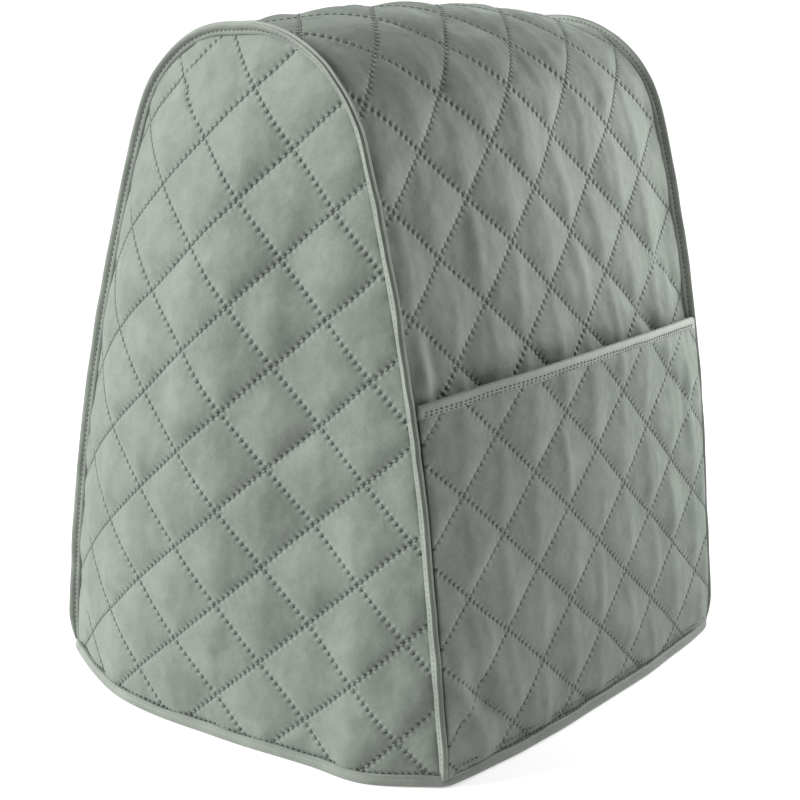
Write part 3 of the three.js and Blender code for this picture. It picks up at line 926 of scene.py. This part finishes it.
def hem_spots(section):
    """Points of the section all round the ring, and the length up to each place."""
    path = hem_path()
    for _ in range(3):
        path = (np.roll(path, 1, axis=0) + 2 * path + np.roll(path, -1, axis=0)) / 4
    ahead = np.roll(path, -1, axis=0) - np.roll(path, 1, axis=0)
    ahead /= np.linalg.norm(ahead, axis=1, keepdims=True)
    gaps = np.linalg.norm(np.roll(path, -1, axis=0) - path, axis=1)
    length = np.concatenate([[0], np.cumsum(gaps)[:-1]])
    turn = 2 * math.pi * length / gaps.sum()
    sway = HEM_SWAY * ring_noise(turn, 8, 6, 81)
    top = HEM_SWAY * ring_noise(turn, 20, 11, 83)
    in_front = np.arange(len(path)) < HEM_FRONT
    push = HEM_PUSH * in_front * (1 - np.abs(2 * path[:, 0] / SEAM_WIDTH) ** 6)
    far = section[None, :, 0] + (sway + push)[:, None] * (section[:, 0] > 0)
    up = section[None, :, 1] + top[:, None] * (section[:, 1] / HEM_HEIGHT) ** 2
    x = path[:, None, 0] + ahead[:, None, 1] * far
    y = path[:, None, 1] - ahead[:, None, 0] * far
    return np.stack([x, y, up], -1), length


hem_points, hem_lengths = hem_spots(np.array(HEM_SECTION))
hem_piece = swept("Hem_tape", hem_points, True, hem_lengths)

# %% Pocket tape
POCKET_SECTION = [
    (0.0, -2.2), (3.0, -2.3), (5.6, -2.1), (6.7, -1.2), (6.9, 0.2), (6.5, 1.4), (5.2, 2.0), (3.4, 2.1),
    (1.9, 1.9), (1.2, 1.6), (0.6, 1.9), (0.0, 1.7), (-0.2, 0.6),
]
BAND_STATIONS = 110
BAND_WANDER = 0.35


def pocket_spots(across, section):
    """Points of the band's section at places across the pocket's mouth."""
    wander = BAND_WANDER * soft_noise(across / 14 + 20, across * 0, 91)
    height = section[None, :, 0] + wander[:, None] * (section[:, 0] < 3)
    foot = pocket_edge(across)[:, None] - POCKET_TAPE + height
    b = np.broadcast_to(across[:, None], foot.shape)
    lift = pocket_off(foot, b) + CLOTH / 2 + section[None, :, 1]
    return off_surface(wrap_point, foot, b, lift)


band_stations = np.linspace(-edge, edge, BAND_STATIONS)
band_points = pocket_spots(band_stations, np.array(POCKET_SECTION))
pocket_band = swept("Pocket_tape", band_points, False, band_stations)

# %% [markdown]
# ## Stitches
# Thousands of equal stitches lie along the needle rows. They are made with Geometry Nodes: a guide line
# has one point for each stitch and carries the outward direction as an attribute. The tree turns the
# guide into a curve, sets one small rounded thread on every point, along the curve and facing out, and
# varies its size a little from a fixed seed.

# %% Stitch tree
STITCHES_PER_SQUARE = 10
STITCH = SQUARE / STITCHES_PER_SQUARE


def stitch_tree():
    tree = bpy.data.node_groups.new("Stitches", "GeometryNodeTree")
    face = tree.interface
    face.new_socket("Guide", in_out="INPUT", socket_type="NodeSocketGeometry")
    for name, start in (("Length", 0.0026), ("Width", 0.0007), ("Height", 0.0005)):
        face.new_socket(name, in_out="INPUT", socket_type="NodeSocketFloat").default_value = start
    face.new_socket("Seed", in_out="INPUT", socket_type="NodeSocketInt").default_value = 4
    face.new_socket("Thread", in_out="INPUT", socket_type="NodeSocketMaterial")
    face.new_socket("Geometry", in_out="OUTPUT", socket_type="NodeSocketGeometry")
    nodes, join = tree.nodes, tree.links.new
    given = nodes.new("NodeGroupInput")
    curve = nodes.new("GeometryNodeMeshToCurve")
    join(given.outputs["Guide"], curve.inputs["Mesh"])
    tangent = nodes.new("GeometryNodeInputTangent")
    outward = nodes.new("GeometryNodeInputNamedAttribute")
    outward.data_type = "FLOAT_VECTOR"
    outward.inputs["Name"].default_value = "outward"
    turn = nodes.new("FunctionNodeAxesToRotation")
    turn.primary_axis, turn.secondary_axis = "Z", "X"
    join(outward.outputs["Attribute"], turn.inputs["Primary Axis"])
    join(tangent.outputs["Tangent"], turn.inputs["Secondary Axis"])
    thread = nodes.new("GeometryNodeMeshUVSphere")
    thread.inputs["Segments"].default_value = 6
    thread.inputs["Rings"].default_value = 5
    thread.inputs["Radius"].default_value = 0.5
    size = nodes.new("ShaderNodeCombineXYZ")
    for axis, name in (("X", "Length"), ("Y", "Width"), ("Z", "Height")):
        join(given.outputs[name], size.inputs[axis])
    smooth = nodes.new("GeometryNodeSetShadeSmooth")
    join(thread.outputs["Mesh"], smooth.inputs["Geometry"])
    vary = nodes.new("FunctionNodeRandomValue")
    vary.data_type = "FLOAT_VECTOR"
    vary.inputs["Min"].default_value = (0.85, 0.85, 0.8)
    vary.inputs["Max"].default_value = (1.05, 1.15, 1.2)
    join(given.outputs["Seed"], vary.inputs["Seed"])
    scaled = nodes.new("ShaderNodeVectorMath")
    scaled.operation = "MULTIPLY"
    join(size.outputs["Vector"], scaled.inputs[0])
    join(vary.outputs["Value"], scaled.inputs[1])
    place = nodes.new("GeometryNodeInstanceOnPoints")
    join(curve.outputs["Curve"], place.inputs["Points"])
    join(smooth.outputs["Geometry"], place.inputs["Instance"])
    join(turn.outputs["Rotation"], place.inputs["Rotation"])
    join(scaled.outputs["Vector"], place.inputs["Scale"])
    real = nodes.new("GeometryNodeRealizeInstances")
    join(place.outputs["Instances"], real.inputs["Geometry"])
    look = nodes.new("GeometryNodeSetMaterial")
    join(real.outputs["Geometry"], look.inputs["Geometry"])
    join(given.outputs["Thread"], look.inputs["Material"])
    result = nodes.new("NodeGroupOutput")
    join(look.outputs["Geometry"], result.inputs["Geometry"])
    return tree


stitches = stitch_tree()
print("stitch tree has", len(stitches.nodes), "nodes")

# %% Stitch guides
STITCH_LIFT = 0.35


def guide_object(name, rows):
    """rows is a list of (points, outward) pairs in metres, one point for each stitch."""
    points = np.concatenate([row[0] for row in rows])
    outward = np.concatenate([row[1] for row in rows])
    edges = []
    start = 0
    for row, _ in rows:
        edges.extend((start + k, start + k + 1) for k in range(len(row) - 1))
        start += len(row)
    mesh = bpy.data.meshes.new(name)
    mesh.from_pydata(points.tolist(), edges, [])
    carried = mesh.attributes.new("outward", "FLOAT_VECTOR", "POINT")
    carried.data.foreach_set("vector", outward.ravel())
    guide = bpy.data.objects.new(name, mesh)
    bpy.context.collection.objects.link(guide)
    return guide


def sew(name, rows, material, sizes):
    """The rows as one mesh of threads. sizes holds a thread's length, width and height in metres."""
    piece = guide_object(name, rows)
    modifier = piece.modifiers.new("Stitches", "NODES")
    modifier.node_group = stitches
    named = {item.name: item.identifier for item in stitches.interface.items_tree if item.in_out == "INPUT"}
    for key, value in sizes.items():
        modifier[named[key]] = value
    modifier[named["Thread"]] = material
    baked(piece)
    print(name, sum(len(row[0]) for row in rows), "stitches")
    return piece


def row_of(near, far):
    """A row of stitches from two lines of points, at the cloth and one millimetre further out."""
    near, far = settle(near), settle(far)
    return near, (far - near) / MM


def quilt_rows(corners, phase, surface, seed, mirrored):
    """One row for each stitch line, a point at the middle of every stitch inside the outline."""
    outline = spaced_loop(corners, RIM_SPACING)
    loop = to_quilt(outline, phase)
    low, high = np.floor(loop.min(axis=0)).astype(int), np.ceil(loop.max(axis=0)).astype(int)
    rows = []
    for axis in (0, 1):
        for line in range(low[axis], high[axis] + 1):
            ends = low[1 - axis] * STITCHES_PER_SQUARE, high[1 - axis] * STITCHES_PER_SQUARE + 1
            run = np.arange(*ends) / STITCHES_PER_SQUARE + 0.5 / STITCHES_PER_SQUARE
            quilt = np.stack([np.full(len(run), float(line)), run], -1)
            quilt = quilt if axis == 0 else quilt[:, ::-1]
            inside = inside_loop(quilt, loop)
            if inside.sum() < 2:
                continue
            quilt = quilt[inside]
            cloth = wobbled(to_cloth(quilt, phase), outline, seed)
            near, far = (
                off_surface(surface, cloth[:, 0], cloth[:, 1], np.full(len(cloth), lift))
                for lift in (STITCH_LIFT, STITCH_LIFT + 1)
            )
            rows.append(row_of(mirror(near), mirror(far)) if mirrored else row_of(near, far))
    return rows


# %% [markdown]
# ## Materials
# Shader maths reads best as arithmetic, so a small class wraps an output and gives it the operators.
# Every other node comes from one method that takes its type, its settings and its inputs. The cloth is
# a brushed microfibre: a soft sheen, a very fine weave, a nap that leans to and fro in patches, and at
# every needle hole a pit with the cloth drawn in round it. The shadow in each pit is painted dark into
# the colour, and a little painted shade darkens the cloth along the stitch valleys.

# %% Node writer
class Value:
    """An output of a node that adds, subtracts and multiplies as a number does."""

    def __init__(self, writer, output):
        self.writer, self.output = writer, output

    def maths(self, operation, *others):
        return self.writer.node("ShaderNodeMath", {"operation": operation}, [self, *others])

    def __add__(self, other):
        return self.maths("ADD", other)

    __radd__ = __add__

    def __mul__(self, other):
        return self.maths("MULTIPLY", other)

    __rmul__ = __mul__

    def __sub__(self, other):
        return self.maths("SUBTRACT", other)

    def __rsub__(self, other):
        return self.writer.node("ShaderNodeMath", {"operation": "SUBTRACT"}, [other, self])


class Writer:
    """Adds nodes to a material's tree."""

    def __init__(self, name):
        self.material = bpy.data.materials.new(name)
        self.material.use_nodes = True
        self.tree = self.material.node_tree
        self.shader = self.tree.nodes["Principled BSDF"]

    def node(self, kind, settings=None, inputs=None, output=0):
        made = self.tree.nodes.new(kind)
        for key, value in (settings or {}).items():
            setattr(made, key, value)
        pairs = inputs.items() if isinstance(inputs, dict) else enumerate(inputs or [])
        for key, value in pairs:
            self.feed(made.inputs[key], value)
        return Value(self, made.outputs[output])

    def feed(self, socket, value):
        if isinstance(value, Value):
            self.tree.links.new(value.output, socket)
        else:
            socket.default_value = value

    def blend(self, factor, first, second):
        return self.node("ShaderNodeMix", {"data_type": "RGBA"}, {0: factor, 6: first, 7: second}, 2)

    def ease(self, value, low, high, start=0.0, end=1.0):
        settings = {"interpolation_type": "SMOOTHSTEP"}
        sockets = {"Value": value, "From Min": low, "From Max": high, "To Min": start, "To Max": end}
        return self.node("ShaderNodeMapRange", settings, sockets)

    def noise(self, place, scale, detail=2.0, roughness=0.5):
        sockets = {"Vector": place, "Scale": scale, "Detail": detail, "Roughness": roughness}
        return self.node("ShaderNodeTexNoise", None, sockets)

    def place(self):
        """The piece's own coordinates, in metres."""
        return self.node("ShaderNodeTexCoord", None, None, "Object")

    def bump(self, height):
        """A bump from a height in millimetres."""
        return self.node("ShaderNodeBump", None, {"Strength": 1.0, "Distance": MM, "Height": height})

    def set(self, **values):
        for key, value in values.items():
            self.feed(self.shader.inputs[key.replace("_", " ")], value)


# %% [markdown]
# ### The cloth
# The UV map says how far a point is from the nearest stitch line and from the nearest needle hole, so
# holes and puckers follow the sewing exactly. Everything that only roughens the cloth reads the piece's
# own coordinates instead. Heights are in millimetres: a ripple of puckers beside the line, the pit of
# each hole, the narrow valley, the weave, and three sizes of unevenness.

# %% Cloth material
CLOTH_COLOUR = (0.166, 0.187, 0.163, 1)
CLOTH_DEEP = (0.124, 0.143, 0.122, 1)
# Painted shade: the cloth colour in the stitch valleys.
CLOTH_VALLEY_SHADE = (0.16, 0.183, 0.16, 1)
# Painted shade: the colour of the shadow inside each needle hole.
HOLE_SHADE_COLOUR = (0.03, 0.036, 0.031, 1)
SHEEN_TINT = (0.85, 0.9, 0.86, 1)
HOLE_CORE, HOLE_EDGE = 0.35, 1.05
HOLE_STRETCH = 0.75
WEAVE_PITCH = 0.62
RIPPLE, PIT, VALLEY = -0.22, 0.45, 0.20
WEAVE, SPECK, SOFT, ROLLING = 0.012, 0.06, 0.4, 1.9


def needle_holes(writer, across, along):
    """Distance in millimetres to a stitch line, and a mask of its needle holes."""
    away = (across - across.maths("ROUND")).maths("ABSOLUTE") * SQUARE
    count = along * STITCHES_PER_SQUARE
    run = (count - count.maths("ROUND")) * STITCH
    reach = (away * away * HOLE_STRETCH + run * run).maths("SQRT")
    return away, writer.ease(reach, HOLE_CORE, HOLE_EDGE, 1, 0), run


def cloth_material(name):
    writer = Writer(name)
    map_place = writer.node("ShaderNodeUVMap", {"uv_map": "quilt"})
    u = writer.node("ShaderNodeSeparateXYZ", None, [map_place])
    v = Value(writer, u.output.node.outputs["Y"])
    body = writer.place()
    away_u, holes_u, run_u = needle_holes(writer, u, v)
    away_v, holes_v, run_v = needle_holes(writer, v, u)
    holes = holes_u.maths("MAXIMUM", holes_v)
    nearest = away_u.maths("MINIMUM", away_v)
    valley = writer.ease(nearest, 0.0, 2.4, 1, 0)
    # How far the painted valley shade reaches from a stitch line.
    valley_shade_share = writer.ease(nearest, 0.6, 5.5, 1, 0)
    ripple_u = (run_u * (2 * math.pi / STITCH)).maths("COSINE") * writer.ease(away_u, 0.5, 3.4, 1, 0)
    ripple_v = (run_v * (2 * math.pi / STITCH)).maths("COSINE") * writer.ease(away_v, 0.5, 3.4, 1, 0)
    nap = writer.noise(body, 38, 3, 0.55)
    speck = writer.noise(body, 900, 2, 0.6)
    weave_turn = DIAGONAL * math.pi / WEAVE_PITCH
    weave = ((u + v) * weave_turn).maths("SINE") * ((u - v) * weave_turn).maths("SINE")
    soft = writer.noise(body, 120, 2, 0.5)
    rolling = writer.noise(body, 52, 2, 0.45)
    height = (ripple_u + ripple_v) * RIPPLE - holes * PIT - valley * VALLEY + weave * WEAVE + speck * SPECK
    height = height + soft * SOFT + rolling * ROLLING
    tone = writer.ease(nap + (speck - 0.5) * 0.5 + (soft - 0.5) * 0.4, 0.25, 0.75)
    cloth = writer.blend(tone, CLOTH_DEEP, CLOTH_COLOUR)
    # Painted shade: the cloth darkens a little towards each stitch line, where the valley lies in shade.
    valley_shaded = writer.blend(valley_shade_share * 0.3, cloth, CLOTH_VALLEY_SHADE)
    # Painted shade: each needle hole is painted dark as its shadow, stronger in some places than others.
    hole_shade_strength = writer.ease(writer.noise(body, 170, 1, 0.5), 0.35, 0.65, 0.45, 0.9)
    colour = writer.blend(holes * hole_shade_strength, valley_shaded, HOLE_SHADE_COLOUR)
    roughness = writer.ease(nap, 0.3, 0.7, 0.62, 0.72)
    writer.set(Base_Color=colour, Normal=writer.bump(height), Roughness=roughness)
    writer.set(Sheen_Weight=0.12, Sheen_Roughness=0.5, Sheen_Tint=SHEEN_TINT, Specular_IOR_Level=0.2)
    return writer.material


# %% [markdown]
# ### Tape and thread
# The tape is the same kind of cloth, cut narrow and pressed, so it is a little smoother. Each tape and
# each thread comes in its own shade, from a darker to a lighter tone. The thread on the tapes lies in
# the shadow of the folds and is the darkest, its shade painted in. The pocket tape is painted lighter,
# for the light that its flat band catches.

# %% Tape and thread materials
def tape_material(name, shaded, lit):
    writer = Writer(name)
    body = writer.place()
    nap = writer.noise(body, 60, 3, 0.55)
    speck = writer.noise(body, 1100, 2, 0.6)
    soft = writer.noise(body, 160, 2, 0.5)
    tone = writer.ease(nap + (speck - 0.5) * 0.3, 0.3, 0.7)
    roughness = writer.ease(nap, 0.3, 0.7, 0.55, 0.66)
    bump = writer.bump(speck * 0.06 + soft * 0.25)
    writer.set(Base_Color=writer.blend(tone, shaded, lit), Normal=bump, Roughness=roughness)
    writer.set(Sheen_Weight=0.2, Sheen_Roughness=0.4, Specular_IOR_Level=0.35)
    return writer.material


def thread_material(name, shaded, lit):
    writer = Writer(name)
    body = writer.place()
    nap = writer.noise(body, 700, 2, 0.5)
    colour = writer.blend(writer.ease(nap, 0.35, 0.65), shaded, lit)
    bump = writer.bump(writer.noise(body, 2600, 1, 0.5) * 0.08)
    writer.set(Base_Color=colour, Normal=bump, Roughness=writer.ease(nap, 0.3, 0.7, 0.5, 0.6))
    return writer.material


def paint(pieces, material):
    for piece in pieces:
        piece.data.materials.clear()
        piece.data.materials.append(material)


cloth_look = cloth_material("Quilted_microfibre")
tape_look = tape_material("Folded_tape", (0.14, 0.158, 0.137, 1), (0.18, 0.202, 0.174, 1))
# Painted light: the pocket tape is the same tape, painted lighter for the light its flat band catches.
band_lit_look = tape_material("Pocket_tape_lit", (0.185, 0.208, 0.18, 1), (0.235, 0.262, 0.227, 1))
quilt_thread = thread_material("Sewing_thread", (0.14, 0.16, 0.139, 1), (0.19, 0.213, 0.188, 1))
tape_thread = thread_material("Shaded_thread", (0.05, 0.058, 0.051, 1), (0.09, 0.101, 0.09, 1))
paint([wrap_cloth, *side_cloths, pocket_cloth], cloth_look)
paint([*seam_tapes, hem_piece], tape_look)
paint([pocket_band], band_lit_look)
print("materials:", [look.name for look in (cloth_look, tape_look, band_lit_look, quilt_thread, tape_thread)])

# %% [markdown]
# ### Quilting rows
# The quilting thread is fine and lies a little above the valley. Each panel's rows take the same seed as
# the panel itself, so they wander with the stitch lines of the cloth.

# %% Sew the quilting
QUILT_THREAD_SIZE = {"Length": 0.0023, "Width": 0.0007, "Height": 0.0005}
panel_stitches = [
    sew(name, quilt_rows(corners, phase, surface, seed, mirrored), quilt_thread, QUILT_THREAD_SIZE)
    for name, corners, phase, surface, seed, mirrored in (
        ("Wrap_stitches", wrap_corners, WRAP_PHASE, wrap_point, WRAP_SEED, False),
        ("Side_stitches_left", side_corners, SIDE_PHASE, side_point, LEFT_SEED, False),
        ("Side_stitches_right", side_corners, SIDE_PHASE, side_point, RIGHT_SEED, True),
        ("Pocket_stitches", pocket_corners, POCKET_PHASE, pocket_point, POCKET_SEED, False),
    )
]

# %% [markdown]
# ### Tape rows
# A shorter, tighter row holds every tape: two rows on the pocket tape, one low on each flank of the
# seam folds, one in the cloth just above the hem tape and one across the foot of the pocket.

# %% Sew the tapes
TAPE_THREAD_SIZE = {"Length": 0.0021, "Width": 0.0011, "Height": 0.0007}
TAPE_PITCH = 3.1
HEM_PITCH = 3.2
SEAM_ROW = (2.3, 1.45)
SEAM_ROW_START = 14
HEM_ROW = [(1.3, 7.9), (2.3, 7.9)]
BAND_ROWS = [(0.9, 1.75), (2.6, 2.15)]
BAND_ROW_INSET = 4
FOOT_ROW = 10.5
FOOT_ROW_LIFT = 1.2


def seam_rows(seed, mirrored):
    """Two rows, low on both flanks of a seam fold."""
    along = np.arange(SEAM_ROW_START, ARCH_LENGTH - SEAM_ROW_START, TAPE_PITCH)
    out, across = SEAM_ROW
    rows = []
    for side in (-1, 1):
        section = np.array([(out, across * side), (out, (across + 1) * side)])
        spots = seam_spots(along, section, seed, mirrored)
        rows.append(row_of(spots[:, 0], spots[:, 1]))
    return rows


def evenly(lines, pitch):
    """Two closed lines of points side by side, with one pair of points for each stitch."""
    lines = np.concatenate([lines, lines[:1]])
    gaps = np.linalg.norm(np.diff(lines[:, 0], axis=0), axis=1)
    length = np.concatenate([[0], np.cumsum(gaps)])
    places = np.arange(0, length[-1] - pitch / 2, pitch)
    flat = lines.reshape(len(lines), 6)
    return np.stack([np.interp(places, length, flat[:, k]) for k in range(6)], -1).reshape(-1, 2, 3)


def pocket_rows():
    """One row across the pocket's foot and two along its tape."""
    across = np.arange(-edge + BAND_ROW_INSET, edge - BAND_ROW_INSET, TAPE_PITCH)
    foot = np.full(len(across), FOOT_ROW)
    lines = [
        off_surface(pocket_point, foot, across, np.full(len(across), lift))
        for lift in (FOOT_ROW_LIFT, FOOT_ROW_LIFT + 1)
    ]
    rows = [row_of(*lines)]
    for height, stand in BAND_ROWS:
        spots = pocket_spots(across, np.array([(height, stand), (height, stand + 1)]))
        rows.append(row_of(spots[:, 0], spots[:, 1]))
    return rows


hem_pairs = evenly(hem_spots(np.array(HEM_ROW))[0], HEM_PITCH)
tape_stitches = [
    sew(name, rows, tape_thread, TAPE_THREAD_SIZE)
    for name, rows in (
        ("Seam_stitches_left", seam_rows(LEFT_TAPE_SEED, False)),
        ("Seam_stitches_right", seam_rows(RIGHT_TAPE_SEED, True)),
        ("Hem_stitches", [row_of(hem_pairs[:, 0], hem_pairs[:, 1])]),
        ("Pocket_tape_stitches", pocket_rows()),
    )
]

# %% [markdown]
# ## Floor and light
# The picture needs a plain pale floor and soft studio light. The floor glows a little, so it comes out
# nearly white. A wide sun stands low behind on the left, which brightens the left edge of the side. A
# disk lamp near the right shoulder lifts the front, and the pale world fills in the rest.

# %% Floor and lights
FLOOR_REACH = 12
KEY_LIGHT = {"heading": 141, "height": 27, "spread": 22, "power": 6.7}
LAMP_PLACE = (0.47, -0.31, 0.41)
LAMP_AIM = (0.0, -0.1, 0.17)
LAMP_POWER = 4.8
LAMP_SIZE = 0.5
WORLD_STRENGTH = 0.26

floor_mesh = bpy.data.meshes.new("Floor")
floor_corners = [(x * FLOOR_REACH, y * FLOOR_REACH, 0) for x, y in ((-1, -1), (1, -1), (1, 1), (-1, 1))]
floor_mesh.from_pydata(floor_corners, [], [(0, 1, 2, 3)])
floor = bpy.data.objects.new("Floor", floor_mesh)
bpy.context.collection.objects.link(floor)
floor_paint = Writer("Floor_paint")
floor_paint.set(Base_Color=(0.6, 0.6, 0.6, 1), Roughness=0.9)
floor_paint.set(Emission_Color=(1, 1, 1, 1), Emission_Strength=0.5)
floor_mesh.materials.append(floor_paint.material)


def sun(name, heading, height, spread, power):
    """A soft far light, from a heading round the object and a height above the horizon, in degrees."""
    data = bpy.data.lights.new(name, "SUN")
    data.energy, data.angle = power, math.radians(spread)
    light = bpy.data.objects.new(name, data)
    turn, rise = math.radians(heading), math.radians(height)
    source = Vector((math.cos(turn) * math.cos(rise), math.sin(turn) * math.cos(rise), math.sin(rise)))
    light.rotation_mode = "QUATERNION"
    light.rotation_quaternion = source.to_track_quat("Z", "Y")
    light.location = source * 3
    bpy.context.collection.objects.link(light)


def disk_lamp(name, place, aim, size, power):
    """A round lamp near the cover, turned towards a point of it."""
    data = bpy.data.lights.new(name, "AREA")
    data.energy, data.shape, data.size = power, "DISK", size
    light = bpy.data.objects.new(name, data)
    light.location = place
    light.rotation_euler = (Vector(aim) - Vector(place)).to_track_quat("-Z", "Y").to_euler()
    bpy.context.collection.objects.link(light)


sun("Key_left", **KEY_LIGHT)
disk_lamp("Lamp_right", LAMP_PLACE, LAMP_AIM, LAMP_SIZE, LAMP_POWER)
world = bpy.data.worlds.new("Studio")
world.use_nodes = True
sky = world.node_tree.nodes["Background"]
sky.inputs["Color"].default_value = (1, 1, 1, 1)
sky.inputs["Strength"].default_value = WORLD_STRENGTH
bpy.context.scene.world = world
bpy.context.scene.view_settings.view_transform = "Standard"
print("lights set")

# %% [markdown]
# ## Hand over to the frame
# Every piece rides on the one rigid body and takes the place of the solid that it stands for, which is
# hidden.

# %% Ride and replace
dressing = [
    (wrap_cloth, "wrap_panel", "quilted_cloth"),
    (side_cloths[0], "side_panel_left", "quilted_cloth"),
    (side_cloths[1], "side_panel_right", "quilted_cloth"),
    (pocket_cloth, "pocket_panel", "quilted_cloth"),
    (pocket_band, "pocket_binding", "binding_tape"),
    (seam_tapes[0], "seam_binding_left", "binding_tape"),
    (seam_tapes[1], "seam_binding_right", "binding_tape"),
    (hem_piece, "hem_binding", "binding_tape"),
]
for piece, node, slot in dressing:
    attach(piece, "root")
    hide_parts(node)
for sewn, slot in ((panel_stitches, "quilted_cloth"), (tape_stitches, "binding_tape")):
    for piece in sewn:
        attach(piece, "root")


side_width = max(c[0] for c in side_corners) - min(c[0] for c in side_corners)
side_height = max(c[1] for c in side_corners) - HEM_INSET
for cloth, sewing in zip(side_cloths, panel_stitches[1:3]):
    side_width * MM
    side_height * MM
print("declared", len(dressing), "pieces and", len(panel_stitches + tape_stitches), "sets of stitches")
